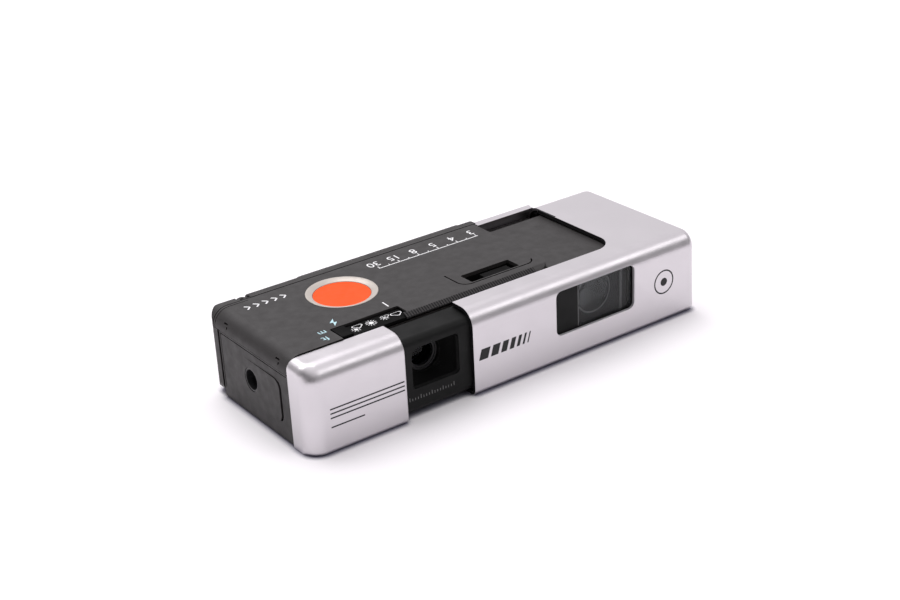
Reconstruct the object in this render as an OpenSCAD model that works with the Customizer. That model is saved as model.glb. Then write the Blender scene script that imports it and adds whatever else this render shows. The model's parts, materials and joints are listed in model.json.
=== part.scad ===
// Flat pull-apart pocket camera for 110 film cartridges, drawn with its sleeve pulled out.
// X runs along the camera, Y from its front to its back and Z up. Lengths are in millimetres.

/* [Overall] */
// Length with the sleeve pulled out
open_length = 148.4; // [148:0.1:149]
// Depth from the silver front to the back of the film door
total_depth = 57.6; // [57.5:0.1:57.8]
// Height of the silver shells
shell_height = 28; // [28:0.1:28.2]
// Height of the black top cover above the silver shells
cover_rise = 0.4; // [0.3:0.1:0.5]
// Distance that the sleeve slides
sleeve_travel = 24.2; // [23:0.1:24.2]

/* [Silver shells] */
// Thickness of the silver sheet
sheet = 0.9; // [0.8:0.05:0.95]
// Length of the fixed front cap
cap_length = 33.2; // [33:0.1:33.2]
// Depth of the fixed front cap
cap_depth = 10.4; // [10.2:0.1:10.5]
// Depth of the sleeve
sleeve_depth = 55.2; // [55:0.1:55.3]
// Rounding of the long top edges
top_round = 5.4; // [5:0.1:5.6]
// Rounding of the sleeve's closed end
end_round = 3; // [2.5:0.1:3.2]
// Rounding of the long bottom edges
bottom_round = 2; // [1.8:0.1:2.2]

/* [Lens and shutter] */
// Place of the lens axis along the camera
lens_x = 44.65; // [44:0.05:45]
// Height of the lens axis
lens_z = 16; // [15.8:0.1:16.2]
// Radius of the lens barrel
barrel_r = 6.2; // [6:0.1:6.4]
// Angle through which the shutter blade swings
blade_swing = 46; // [44:1:48]

/* [Film chamber] */
// Length of the film cartridge
cartridge_length = 83; // [82:0.1:83.2]
// Height of the film cartridge
cartridge_height = 21; // [20:0.1:21.2]
// Distance of the film from the camera's front
film_y = 50.9; // [50.5:0.1:51]

/* [Controls] */
// Radius of the ring round the release button
ring_r = 11.15; // [11:0.05:11.2]
// Distance that the release button is pressed
press_travel = 0.5; // [0.4:0.05:0.5]
// Distance that the weather slider moves
weather_travel = 14.4; // [12:0.1:14.4]
// Spacing of the aperture holes and of the marks on the slider
stop_pitch = 4.8; // [4.4:0.1:4.8]

/* [Film wind] */
// Gear module of the rack and its pinion
gear_module = 0.8; // [0.8:0.05:0.85]
// Number of teeth on the pinion
pinion_teeth = 12; // [12:1:12]

/* [Film door] */
// Thickness of the door's rear wall
door_wall = 1.6; // [1.4:0.1:1.6]
// Distance that the door latch slides
latch_travel = 3; // [2.6:0.1:3]

/* [Hidden] */
$fn = 48;
hull_fn = 32;
lens_fn = 240;
e = 1;
gap = 0.3;
fit = 0.05;

cover_top = shell_height + cover_rise;
cover_skin = 1.2;
cover_inner = cover_top - cover_skin;
sleeve_x = cap_length + 0.1 + sleeve_travel;
sleeve_end = open_length;
body_end = sleeve_end - sleeve_travel - sheet - 1.5;

foot_round = 1.5;
side_round = 3.4;
notch_front = 9.8;
notch_round = 7.2;
notch_right = 122.2;
notch_slant = 0.012;
cover_right = notch_right - sleeve_travel - gap;
cover_front = notch_front + 1.1;
cover_back = 52.7;
cover_left_round = 5.2;
seam_z = cover_top - cover_left_round;
slot_z = 25.8;
deck_top = 26.3;
deck_back = 47.7;
step_x = cover_right - 6.2;

underside = sheet + gap;
panel_front = 1.3;
panel_thick = 1.3;
panel_edge_z = 23.3;
panel_slope = 7.4;
body_back = 54;
rear_step = 51.9;
end_inset = 0.3;
pad_front = 15.6;
pad_low = 5.6;
pad_high = 19.4;
rear_round = 4.2;
rear_edge = 1.3;
tongue_x = 99.6;
tongue_top = 27.7;

chamber_x = 13.9;
chamber_end = chamber_x + cartridge_length + 0.5;
chamber_floor = 3.2;
chamber_roof = chamber_floor + cartridge_height + 0.4;
chamber_front = 27;
grip_split = 12.9;
chamber_split = 26;
finder_split = 99.5;
supply_end = 34;
takeup_start = 70;

window_x = 89.4;
window_end = 121.6;
window_low = 9.2;
window_high = 24.3;
pane_x = 99.2;
finder_x = 110.4;
finder_z = 16.8;

sensor_x = 36.33;
sensor_y = 37.43;
disc_r = 8.85;
disc_top = 27.7;
well_floor = 25.4;
strip_low = 26.6;
strip_high = 27.55;
knob_x = 19.9;
bay_back = 19.6;
blade_x = 53.5;
blade_z = 21.5;
lever_y = 27;
lever_z = 26.3;
plate_y = 16.7;

tripod_y = 32.5;
tripod_z = 13;
tripod_r = 3.175;

pinion_x = 83.7;
pinion_y = 40.5;
pitch_r = gear_module * pinion_teeth / 2;
tooth_pitch = PI * gear_module;
rack_start = 79;
rack_end = 111.4;
rack_low = sheet;
rack_high = 2.2;

pawl_x = 66;
pawl_y = 46.6;
pawl_z = 20.8;

hinge_x = 11.75;
hinge_y = 55.3;
knuckle_r = 1.7;
knuckle_low = 3.9;
knuckle_high = 24.5;
pin_r = 0.6;
door_x = 13.8;
door_end = 99.2;
door_back = 57.2;
door_low = 0.6;
pad_x = 31.5;
flange_low = 28;
latch_x = 62.5;

socket_x = 70;
socket_end = 88.5;
socket_front = 16.5;
socket_back = 22.5;
bar_width = 3.4;
bar_top = 28.1;

screw_places = [[7.2, 45.5], [29.5, 13.5], [64, 28.4]];

silver = "#d7d4dc";
black = "#3a3939";
dark = "#262627";
steel = "#b8bcc0";
clear = "#cfe3ea";

// ---------- helpers ----------

// Moves the model so that its origin is under the middle of its box
module place() translate([-open_length / 2, -total_depth / 2, 0]) children();

// Box between two corners
module block(low, high) translate(low) cube(high - low);

// Round bars along each axis
module rod_x(r, x0, x1, y, z) translate([x0, y, z]) rotate([0, 90, 0]) cylinder(r = r, h = x1 - x0);
module rod_y(r, y0, y1, x, z) translate([x, y0, z]) rotate([-90, 0, 0]) cylinder(r = r, h = y1 - y0);
module rod_z(r, z0, z1, x, y) translate([x, y, z0]) cylinder(r = r, h = z1 - z0);

// Extrusions of a flat outline, drawn in Y and Z, in X and Z, or in X and Y
module along_x(x0, x1) translate([x0, 0, 0]) rotate([90, 0, 90]) linear_extrude(x1 - x0) children();
module along_y(y0, y1) translate([0, y1, 0]) rotate([90, 0, 0]) linear_extrude(y1 - y0) children();
module along_z(z0, z1) translate([0, 0, z0]) linear_extrude(z1 - z0) children();

// Rectangle with round corners between two flat points
module rounded(low, high, r) {
    translate([low.x + r, low.y]) square([high.x - low.x - 2 * r, high.y - low.y]);
    translate([low.x, low.y + r]) square([high.x - low.x, high.y - low.y - 2 * r]);
    for (x = [low.x + r, high.x - r], y = [low.y + r, high.y - r])
        translate([x, y]) circle(r);
}

// Points along an arc, with angles in degrees
function arc(centre, r, from, to) = [for (i = [0:12])
    let (a = from + (to - from) * i / 12) centre + r * [cos(a), sin(a)]];

// X of the slanted right edge that the cover and the sleeve's notch share
function slanted(right, y) = right + notch_slant * (y - 16);

// ---------- silver shells ----------

// Outer form of the sleeve, moved inwards by inset
module sleeve_form(start, inset) hull() {
    for (y = [top_round, sleeve_depth - top_round]) {
        rod_x(top_round - inset, start, sleeve_end - end_round, y, shell_height - top_round, $fn = 48);
        translate([sleeve_end - end_round, y, shell_height - top_round])
            rotate([0, 90, 0])
                rotate_extrude($fn = 48) intersection() {
                    translate([top_round - end_round, 0]) circle(end_round - inset, $fn = 48);
                    translate([0, -10]) square([20, 20]);
                }
    }
    for (y = [bottom_round, sleeve_depth - bottom_round]) {
        rod_x(bottom_round - inset, start, sleeve_end - bottom_round, y, bottom_round, $fn = hull_fn);
        translate([sleeve_end - bottom_round, y, bottom_round])
            sphere(bottom_round - inset, $fn = hull_fn);
    }
}

// Plan of the notch in the sleeve's top, open at its left and its back
module notch_plan() {
    bend_x = notch_right - notch_round;
    bend_y = notch_front + notch_round;
    translate([sleeve_x - e, notch_front]) square([bend_x - sleeve_x + e, sleeve_depth]);
    translate([bend_x, bend_y]) circle(notch_round);
    polygon([[bend_x - e, bend_y], [notch_right, bend_y], [slanted(notch_right, bend_y + 2), bend_y + 2],
        [slanted(notch_right, sleeve_depth + e), sleeve_depth + e], [bend_x - e, sleeve_depth + e]]);
}

// Narrow rear wall with a folded top edge, which slides in front of the film door
module sleeve_tongue() {
    wall = sleeve_depth - sheet;
    end = 123.4;
    block([tongue_x, wall, sheet / 2], [end, sleeve_depth, tongue_top]);
    difference() {
        block([tongue_x, wall - 2.1, tongue_top - sheet], [end, sleeve_depth, tongue_top]);
        block([end - 0.4, wall - 2.1 - e, tongue_top - sheet - e], [end + e, wall, tongue_top + e]);
    }
}

module sliding_sleeve() color(silver) place() difference() {
    union() {
        difference() {
            sleeve_form(sleeve_x, 0);
            sleeve_form(sleeve_x - e, sheet);
            along_z(shell_height - 8, shell_height + e) notch_plan();
            block([sleeve_x - e, 40, sheet], [123, sleeve_depth + e, shell_height + e]);
        }
        sleeve_tongue();
    }
    along_y(-e, sheet + e) rounded([window_x, window_low], [window_end, window_high], 2.2);
    along_y(sleeve_depth - sheet - e, sleeve_depth + e) rounded([104, 11.8], [116.6, 22], 2);
}

// Outer form of the front cap, moved inwards by inset
module cap_form(end, back, inset) hull() {
    rod_x(top_round - inset, top_round, end, top_round, shell_height - top_round, $fn = 48);
    translate([top_round, top_round, shell_height - top_round]) sphere(top_round - inset, $fn = 48);
    rod_y(side_round - inset, top_round, back, side_round, shell_height - side_round, $fn = hull_fn);
    translate([side_round, top_round, shell_height - side_round]) sphere(side_round - inset, $fn = 48);
    rod_z(top_round - inset, foot_round, shell_height - top_round, top_round, top_round, $fn = 48);
    translate([top_round, top_round, foot_round]) rotate_extrude($fn = 48)
        translate([top_round - foot_round, 0]) circle(foot_round - inset, $fn = hull_fn);
    rod_x(foot_round - inset, top_round, end, foot_round, foot_round, $fn = hull_fn);
    block([inset, top_round, inset], [end, back, shell_height - 8]);
    block([end - 1, top_round, shell_height - 8], [end, back, shell_height - inset]);
}

module front_cap() color(silver) place() difference() {
    cap_form(cap_length, cap_depth, 0);
    cap_form(cap_length + e, cap_depth + e, sheet);
    block([-e, cap_depth, -e], [cap_length + e, 2 * top_round + e, shell_height + e]);
}

// ---------- black body ----------

// Section of the body behind the front panel and below the cover
module body_section(top) polygon([
    [6.1, underside], [6.1, underside + 1.4], [4.4, underside + 1.4], [2.7, 4.4], [2.7, 23.3], [3.8, 24.4],
    [9.9, 25.1], [cover_front + 0.1, 25.1], [cover_front + 0.1, top], [rear_step, top],
    [rear_step, 26.1], [body_back, 26.1], [body_back, underside + 0.8], [body_back - 0.8, underside]]);

// Left end of the body: a plain end face with a raised pad round the tripod hole, which tapers to the rear
module body_left_end() {
    pad = end_inset;
    intersection() {
        cap_form(cap_length, cap_depth, sheet + 0.1);
        block([0, 0, 0], [cap_length, cap_depth, shell_height]);
    }
    along_y(cap_depth, 50.2) {
        translate([pad + 1, 0]) square([cap_length - pad - 1, seam_z]);
        translate([pad, 1]) square([cap_length - pad, seam_z - 1.4]);
        translate([pad + 1, 1]) circle(1);
        translate([cover_left_round, seam_z]) circle(cover_left_round - cover_skin - fit);
        translate([cover_left_round, 20]) square([cap_length - cover_left_round, cover_inner - fit - 20]);
    }
    intersection() {
        along_x(0, pad + e) rounded([pad_front, pad_low], [47, pad_high], 3);
        along_z(0, 30) polygon([[0, pad_front - e], [pad + 0.1, 44], [pad + e, 44], [pad + e, pad_front - e]]);
    }
}

// Grooves in the end face: along the front edge of the pad, under the cover's seam and beside the rear seam
module end_grooves() {
    along_x(-e, 0.9) intersection() {
        difference() {
            rounded([pad_front - 0.6, pad_low - 0.6], [47, pad_high + 0.6], 3.6);
            rounded([pad_front, pad_low], [47, pad_high], 3);
        }
        translate([pad_front - e, pad_low + 0.5]) square([3, pad_high - pad_low - e]);
    }
    block([-e, cap_depth + e, seam_z - 1.2], [end_inset + 0.25, 49.4, seam_z - 0.95]);
    block([-e, 49.15, 4], [end_inset + 0.25, 49.4, seam_z - 0.95]);
}

// Taper of the light path between the rear lens and the film
module dark_box() hull() {
    block([lens_x - 5, 24.5, lens_z - 5], [lens_x + 5, 24.6, lens_z + 5]);
    block([lens_x - 8.6, film_y + e, lens_z - 6.6], [lens_x + 8.6, film_y + e + 0.1, lens_z + 6.6]);
}

// Rectangular lens hood that narrows to the lens barrel
module hood() hull() {
    block([lens_x - 8.45, 2, lens_z - 6.6], [lens_x + 8.45, 3, lens_z + 6.5]);
    rod_y(barrel_r - 0.8, 8.1, 8.2, lens_x, lens_z, $fn = hull_fn);
}

// The black body as a whole, before it is divided into its mouldings
module body_form() difference() {
    union() {
        body_left_end();
        along_x(cap_length, step_x) body_section(cover_inner);
        along_x(step_x - 0.1, body_end) difference() {
            body_section(deck_top - 1.3);
            translate([deck_back, 24]) square([20, 20]);
        }
        block([door_x, 45, underside], [cap_length + e, body_back, 26.1]);
    }
    // Film chamber: two spool pockets and the film channel between them
    block([chamber_x, chamber_front, chamber_floor], [supply_end, 60, chamber_roof]);
    block([takeup_start, chamber_front, chamber_floor], [chamber_end, 60, chamber_roof]);
    block([supply_end - e, film_y, chamber_floor], [takeup_start + e, 60, chamber_roof]);
    dark_box();
    block([lens_x - 11, film_y - 0.8, lens_z - 9], [lens_x + 11, film_y + e, lens_z + 8.2]);
    // Lens, shutter and aperture
    hood();
    rod_y(barrel_r + fit, 8, 16, lens_x, lens_z);
    rod_y(5.3, bay_back - e, 25, lens_x, lens_z);
    block([26.4, 15.9, 6.2], [63.4, bay_back, 30]);
    block([knob_x - 0.8, cover_front, strip_low - 0.3], [63.4, 18.4, 30]);
    // Release button, its lever and the lever's pin
    rod_z(10, well_floor, 30, sensor_x, sensor_y);
    block([sensor_x - 2.6, 18, well_floor], [sensor_x + 2.6, 31, 30]);
    rod_x(0.42, sensor_x - 4.4, sensor_x + 4.4, lever_y, lever_z);
    block([sensor_x - 4.4, lever_y - 0.42, lever_z], [sensor_x + 4.4, lever_y + 0.42, 30]);
    // Flash socket and igniter
    block([socket_x - 0.6, socket_front - 0.6, 14], [socket_end + 0.6, socket_back + 0.6, 30]);
    rod_z(3.05, 6, 30, 93.4, 19.5);
    // Viewfinder
    block([100.2, 2, 9], [120.9, 46, 24.2]);
    block([finder_x - 6.4, 44, finder_z - 5.2], [finder_x + 6.4, 60, finder_z + 5.2]);
    end_grooves();
    // Tripod bush
    rod_x(3.8, -e, 2, tripod_y, tripod_z);
    rod_x(5.2, 1.9, 10.4, tripod_y, tripod_z);
    // Rack, pinion and take-up shaft
    block([rack_start - sleeve_travel - 0.4, pinion_y - pitch_r - 4.5, 0],
        [rack_end + 0.4, pinion_y - pitch_r + 1.1, rack_high + gap]);
    rod_z(pitch_r + 1.1, 0, rack_high + gap + 0.1, pinion_x, pinion_y);
    rod_z(1.2 + fit, 0, chamber_floor + e, pinion_x, pinion_y);
    // Film pawl and its pin
    block([57.3, 43.4, pawl_z - gap], [69.4, film_y + e, pawl_z + 1.1]);
    rod_z(pin_r, pawl_z - 3, pawl_z + 3.5, pawl_x, pawl_y);
    // Keeper of the door latch: entry slot, and pocket behind the rib
    block([latch_x - 0.3, 51, 0], [latch_x + latch_travel + 1.8, 60, 2.8]);
    block([latch_x - 0.3, 51, 0], [latch_x + latch_travel + 3.9, 52.9, 2.8]);
    // Case screws
    for (p = screw_places) {
        low = p.x < cap_length ? 0 : underside;
        rod_z(1.1, -e, 30, p.x, p.y);
        rod_z(2.1, low - e, low + 1.2, p.x, p.y);
        rod_z(2.1, 20, 30, p.x, p.y);
    }
}

// One moulding of the body: what lies between two corners
module moulding(low, high) color(black) place() intersection() {
    body_form();
    block(low, high);
}

module grip_end() moulding([-e, -e, -e], [grip_split, 60, 40]);
module lens_block() moulding([grip_split, -e, -e], [finder_split, chamber_split, 40]);
module film_chamber() moulding([grip_split, chamber_split, -e], [finder_split, 60, 40]);
module finder_housing() moulding([finder_split, -e, -e], [open_length, 60, 40]);

// Section of the cover's left end, whose outer or inner face is inset
module cover_section(inset, low) {
    translate([cover_left_round, seam_z]) difference() {
        circle(cover_left_round - inset);
        translate([-20, -40]) square([40, 40]);
    }
    translate([cover_left_round, low]) square([150, cover_top - inset - low]);
}

// Plan of the raised part of the cover, with its round front right corner
module cover_plan() {
    corner = notch_round - 1;
    bend_x = cover_right - corner;
    bend_y = cover_front + corner;
    translate([-e, cap_depth + 0.1]) square([cap_length + 0.1 + e, 10]);
    translate([-e, cover_front]) square([bend_x + e, cover_back - cover_front]);
    translate([bend_x, bend_y]) circle(corner);
    polygon([[bend_x - e, bend_y], [cover_right, bend_y], [slanted(cover_right, bend_y + 2), bend_y + 2],
        [slanted(cover_right, cover_back), cover_back], [bend_x - e, cover_back]]);
}

module top_cover() color(black) place() difference() {
    union() {
        intersection() {
            along_z(seam_z, cover_top) cover_plan();
            along_y(0, 60) difference() {
                cover_section(0, seam_z);
                cover_section(cover_skin, seam_z - e);
            }
        }
        // Step down to the lower deck over the viewfinder
        along_z(deck_top - cover_skin, cover_top) intersection() {
            difference() {
                cover_plan();
                translate([-cover_skin, 0]) cover_plan();
            }
            translate([60, cover_front]) square([60, deck_back - cover_front]);
        }
        block([cover_right - 0.8, cover_front + 0.1, deck_top - cover_skin], [122.4, deck_back, deck_top]);
        // Screw bosses
        for (p = screw_places)
            rod_z(2, 20.2, cover_inner + 0.1, p.x, p.y);
    }
    // Bevel of the front edge between the sleeve's notch and the raised part
    along_x(cap_length + 0.2, 100) polygon([[cover_front - 1.9, cover_inner - 1.2],
        [cover_front + 3.8, cover_top + 1.2], [cover_front - 1.9, cover_top + 1.2]]);
    // Thinner skin over the sleeve's folded tongue
    block([70, rear_step, cover_inner - e], [99, cover_back + e, flange_low]);
    // Openings for the weather slider, the release button and the flash socket
    along_z(0, 40) rounded([knob_x - 0.4, 8], [43.4, 18], 0.6);
    block([42, cover_front - e, 24], [63, 18.4, strip_high + 0.15]);
    rod_z(ring_r + fit, 0, 40, sensor_x, sensor_y);
    along_z(0, 40) rounded([socket_x, socket_front], [socket_end, socket_back], 0.5);
    // Line engraved round the left and the front of the flash opening
    along_z(cover_top - 0.5, 40) intersection() {
        difference() {
            rounded([socket_x - 3.9, socket_front - 1], [socket_end + 6.3, 40], 3.6);
            rounded([socket_x - 3.4, socket_front - 0.5], [socket_end + 5.8, 40], 3.1);
        }
        union() {
            translate([socket_x - 5, 10]) square([10, 15.8]);
            translate([socket_x, 10]) square([30, 8.2]);
        }
    }
    // Clip slots in the left rounding, each with a drop at its front end
    for (y = [16.2, 46]) {
        block([-e, y - 1, slot_z], [1.7, y + 1, slot_z + 0.5]);
        block([-e, y - 1.3, slot_z - 1.1], [1.2, y - 0.8, slot_z - 0.3]);
    }
    // Thin groove beside the rear seam
    along_y(cover_back - 1.1, cover_back - 0.85) difference() {
        translate([-e, seam_z - e]) square([13, 10]);
        translate([cover_left_round, seam_z]) circle(cover_left_round - 0.2);
        translate([cover_left_round, seam_z - e]) square([13, cover_left_round - 0.2 + e]);
    }
    // Screw holes
    for (p = screw_places)
        rod_z(1, 0, 26, p.x, p.y);
}

// Section of the front panel: a sheet with a round foot, a round upper edge and a sloping top
function panel_side(foot_r, edge_r) = concat(
    arc([4.3, underside + 3], foot_r, 270, 180), arc([3.8, panel_edge_z], edge_r, 180, 90 + panel_slope),
    [[9.8, panel_edge_z + (edge_r + 6 * sin(panel_slope)) / cos(panel_slope)]]);

module front_panel() color(dark) place() difference() {
    outside = panel_side(3, 2.5);
    inside = panel_side(3 - panel_thick, 2.5 - panel_thick);
    along_x(cap_length + 0.1, window_end) polygon(concat([[6, underside]], outside,
        [for (i = [len(inside) - 1:-1:0]) inside[i]], [[6, underside + panel_thick]]));
    along_y(0, 5) intersection() {
        rounded([lens_x - 8.45, lens_z - 6.6], [lens_x + 8.45, lens_z + 6.5], 1.3);
        rounded([lens_x - 8.45, lens_z - 15], [lens_x + 15, lens_z + 6.5], 3);
    }
    along_y(0, 5) rounded([pane_x, window_low + 0.2], [window_end - 0.4, window_high - 0.2], 1);
}

// Section of the rear up to a given Y, whose upper edge has radius r
module edge_section(back, r) {
    translate([40, 0]) square([back - 40, cover_top - r]);
    translate([40, 0]) square([back - r - 40, cover_top]);
    translate([back - r, cover_top - r]) circle(r);
}

module rear_shell() color(black) place() {
    difference() {
        intersection() {
            along_z(door_low, cover_top) {
                translate([rear_round, 50.5]) square([9.5 - rear_round, 6]);
                translate([0, 50.5]) square([9, 56.5 - rear_round - 50.5]);
                translate([rear_round, 56.5 - rear_round]) circle(rear_round);
                translate([5, 50.5]) square([8.6, 2.9]);
            }
            along_x(-e, 20) edge_section(56.5, rear_edge);
            along_y(40, 60) {
                translate([cover_left_round, seam_z]) circle(cover_left_round);
                translate([0, 4.6]) square([20, seam_z - 4.6]);
                translate([cover_left_round, door_low]) square([20, cover_top - door_low]);
                translate([4, 4.6]) circle(4);
            }
        }
        block([-e, 40, 0], [20, 50.5, 30]);
        block([-e, 40, seam_z - 0.15], [20, cover_back + 0.3, 30]);
        rod_z(pin_r + 0.01, 0, 27, hinge_x, hinge_y);
    }
    for (z = [[1.3, knuckle_low - gap], [knuckle_high + gap, 27.5]])
        difference() {
            union() {
                rod_z(knuckle_r, z[0], z[1], hinge_x, hinge_y);
                block([hinge_x - knuckle_r, 53, z[0]], [hinge_x + knuckle_r, hinge_y, z[1]]);
            }
            rod_z(pin_r, 0, 30, hinge_x, hinge_y);
        }
}

module tripod_bush() color("#3c3c3e") place() difference() {
    union() {
        rod_x(5.2, 2, 10.4, tripod_y, tripod_z);
        rod_x(3.75, 0.4, 2.1, tripod_y, tripod_z);
    }
    rod_x(tripod_r, 0, 8.6, tripod_y, tripod_z);
}

// Machine screws with countersunk heads, driven from below
module case_screws() color(steel) place()
    for (p = screw_places) {
        low = p.x < cap_length ? 0.05 : underside + 0.05;
        difference() {
            union() {
                rod_z(0.95, low, 25.6, p.x, p.y);
                rod_z(2, low, low + 1.1, p.x, p.y);
            }
            block([p.x - 2.5, p.y - 0.3, low - e], [p.x + 2.5, p.y + 0.3, low + 0.5]);
        }
    }

// ---------- taking lens ----------

// Lens with two spherical faces, its front face bulging towards the front
module lens(r, y0, y1, front_r, rear_r) intersection() {
    rod_y(r, y0, y1, lens_x, lens_z);
    translate([lens_x, y0 + front_r, lens_z]) sphere(front_r, $fn = lens_fn);
    translate([lens_x, y1 - rear_r, lens_z]) sphere(rear_r, $fn = lens_fn);
}

module lens_barrel() color(dark) place() difference() {
    rod_y(barrel_r, 8.2, 15.8, lens_x, lens_z);
    rod_y(4.8, 8, 12.6, lens_x, lens_z);
    rod_y(3.7, 12.5, 14.9, lens_x, lens_z);
    rod_y(3, 14.8, 16, lens_x, lens_z);
}

module front_lens() color(clear) place() lens(4.75, 9.6, 12.5, 12, 30);
module middle_lens() color(clear) place() lens(3.65, 12.7, 14.8, 16, 16);

module lens_ring() color(steel) place() difference() {
    rod_y(4.8, 8.5, 9.5, lens_x, lens_z);
    rod_y(4.1, 8, 10, lens_x, lens_z);
}

module rear_lens_cell() color(dark) place() difference() {
    rod_y(5.25, bay_back + 0.1, 24.4, lens_x, lens_z);
    rod_y(4.3, 20.8, 25, lens_x, lens_z);
    rod_y(3.6, 19, 21, lens_x, lens_z);
}

module rear_lens() color(clear) place() lens(4.25, 20.9, 23.7, 14, 14);

// ---------- shutter, aperture and release ----------

module shutter_plate() color("#4a4a4c") place() difference() {
    union() {
        block([36, 18.6, 6.5], [60, bay_back, 25]);
        rod_y(pin_r, 17.2, 18.7, blade_x, blade_z);
    }
    rod_y(3.4, 18, 20, lens_x, lens_z);
}

module shutter_blade() color("#1b1b1c") place() difference() {
    union() {
        rod_y(4.4, 17.9, 18.3, lens_x, lens_z);
        rod_y(1.6, 17.9, 18.3, blade_x, blade_z);
        along_y(17.9, 18.3) polygon([[lens_x + 1, lens_z + 4.2], [lens_x + 3.6, lens_z - 2.4],
            [blade_x + 1, blade_z - 1.2], [blade_x - 0.6, blade_z + 1.45]]);
    }
    rod_y(pin_r + fit, 17, 19, blade_x, blade_z);
}

// Hair spring round the blade's post
module shutter_spring() color(steel) place() difference() {
    rod_y(1.2, 17.3, 17.7, blade_x, blade_z);
    rod_y(0.9, 17, 18, blade_x, blade_z);
}

module aperture_plate() color("#1b1b1c") place() difference() {
    block([lens_x - weather_travel - 2.2, plate_y, lens_z - 3.4],
        [lens_x + 3.6, plate_y + 0.4, strip_low]);
    for (i = [0:3])
        rod_y([2, 1.4, 1, 0.7][i], plate_y - e, plate_y + e, lens_x - i * stop_pitch, lens_z);
}

module weather_slider() color("#4b4a4a") place() {
    block([knob_x, 11.4, strip_low], [43.2, 17.6, strip_high]);
    along_z(strip_high - 0.1, cover_top) rounded([knob_x, 11.4], [knob_x + 4, 17.6], 0.5);
}

// Ring whose upper face slopes down to the button
module sensor_ring() color("#e1d7cd") place() translate([sensor_x, sensor_y, 0]) rotate_extrude()
    polygon([[disc_r + 0.15, cover_inner], [ring_r, cover_inner], [ring_r, cover_top + 0.05],
        [ring_r - 0.1, cover_top + 0.15], [ring_r - 0.3, cover_top + 0.15], [disc_r + 0.15, disc_top + 0.1]]);

// Release button: a disc with a retaining rim below the ring and a boss over the lever
module sensor_button() color("#ff6a3c") place() {
    difference() {
        union() {
            rod_z(disc_r, 26.9, disc_top, sensor_x, sensor_y);
            rod_z(disc_r + 0.65, 26.9, 27.1, sensor_x, sensor_y);
        }
        rod_z(disc_r - 0.8, 26, 27.2, sensor_x, sensor_y);
        block([sensor_x - 3.2, sensor_y - 12, 26], [sensor_x + 3.2, sensor_y, 27.2]);
    }
    rod_z(1.5, 26.75, 27.3, sensor_x, sensor_y);
}

// Dished return spring, open at the front for the release lever
module sensor_spring() color(steel) place() difference() {
    translate([sensor_x, sensor_y, 0]) rotate_extrude()
        polygon([[6, 26.6], [9.2, 25.4], [9.2, 25.65], [6, 26.85]]);
    block([sensor_x - 3, sensor_y - 12, 25], [sensor_x + 3, sensor_y, 28]);
}

module release_lever() color(steel) place() difference() {
    union() {
        block([sensor_x - 1.6, 18.9, lever_z - 0.2], [sensor_x + 1.6, sensor_y + 1, lever_z + 0.3]);
        rod_x(0.75, sensor_x - 2.3, sensor_x + 2.3, lever_y, lever_z);
    }
    rod_x(0.4 + fit, sensor_x - 3, sensor_x + 3, lever_y, lever_z);
}

module lever_pin() color(steel) place()
    rod_x(0.4, sensor_x - 4.3, sensor_x + 4.3, lever_y, lever_z);

// ---------- film path ----------

module film_gate() color("#2f2f31") place() difference() {
    block([lens_x - 10.9, film_y - 0.8, lens_z - 8.9], [lens_x + 10.9, film_y - 0.1, lens_z + 8.1]);
    along_y(film_y - 2, film_y + e) rounded([lens_x - 8.5, lens_z - 6.5], [lens_x + 8.5, lens_z + 6.5], 0.8);
}

module film_pawl() color(steel) place() difference() {
    union() {
        rod_z(1.7, pawl_z, pawl_z + 0.8, pawl_x, pawl_y);
        along_z(pawl_z, pawl_z + 0.8) polygon([[pawl_x + 0.4, pawl_y + 1.6], [pawl_x - 1, pawl_y - 1.3],
            [58.6, 48.6], [58, 51.5], [58.9, 51.3], [60.2, 50]]);
    }
    rod_z(pin_r + fit, pawl_z - e, pawl_z + 2, pawl_x, pawl_y);
}

module pawl_pin() color(steel) place() rod_z(pin_r, pawl_z - 3, pawl_z + 3.5, pawl_x, pawl_y);

// One tooth of the pinion, pointing along +X
module pinion_tooth() polygon([[pitch_r - 1, -0.75], [pitch_r, -0.5], [pitch_r + 0.55, -0.22],
    [pitch_r + 0.55, 0.22], [pitch_r, 0.5], [pitch_r - 1, 0.75]]);

module drive_pinion() color(steel) place() translate([pinion_x, pinion_y, 0]) difference() {
    along_z(underside, rack_high + 0.1) {
        circle(pitch_r - 0.9);
        for (i = [0:pinion_teeth - 1])
            rotate(-90 + i * 360 / pinion_teeth) pinion_tooth();
    }
    cylinder(r = 0.7, h = 10, center = true);
}

module take_up_dog() color("#e8e6e0") place() translate([pinion_x, pinion_y, 0]) {
    translate([0, 0, underside]) cylinder(r = 0.7, h = rack_high + 0.1 - underside);
    translate([0, 0, rack_high + 0.1]) cylinder(r = 1.2, h = chamber_floor + 0.2 - rack_high);
    translate([0, 0, chamber_floor + 0.2]) {
        cylinder(r = 2, h = 2);
        for (a = [0, 90])
            rotate(a) translate([-3.6, -0.55, 0]) cube([7.2, 1.1, 1.6]);
    }
}

// Rack whose teeth point backwards into the pinion
module sleeve_rack() color("#59595b") place() along_z(rack_low, rack_high) {
    tooth = [[-0.85, -1], [-0.5, 0], [-0.24, 0.6], [0.24, 0.6], [0.5, 0], [0.85, -1]];
    line = pinion_y - pitch_r;
    polygon(concat([[rack_end, line - 4.2], [rack_start, line - 4.2], [rack_start, line - 1]],
        [for (i = [-2:10]) for (p = tooth) p + [pinion_x + (i + 0.5) * tooth_pitch, line]],
        [[rack_end, line - 1]]));
}

// ---------- flash ----------

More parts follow.
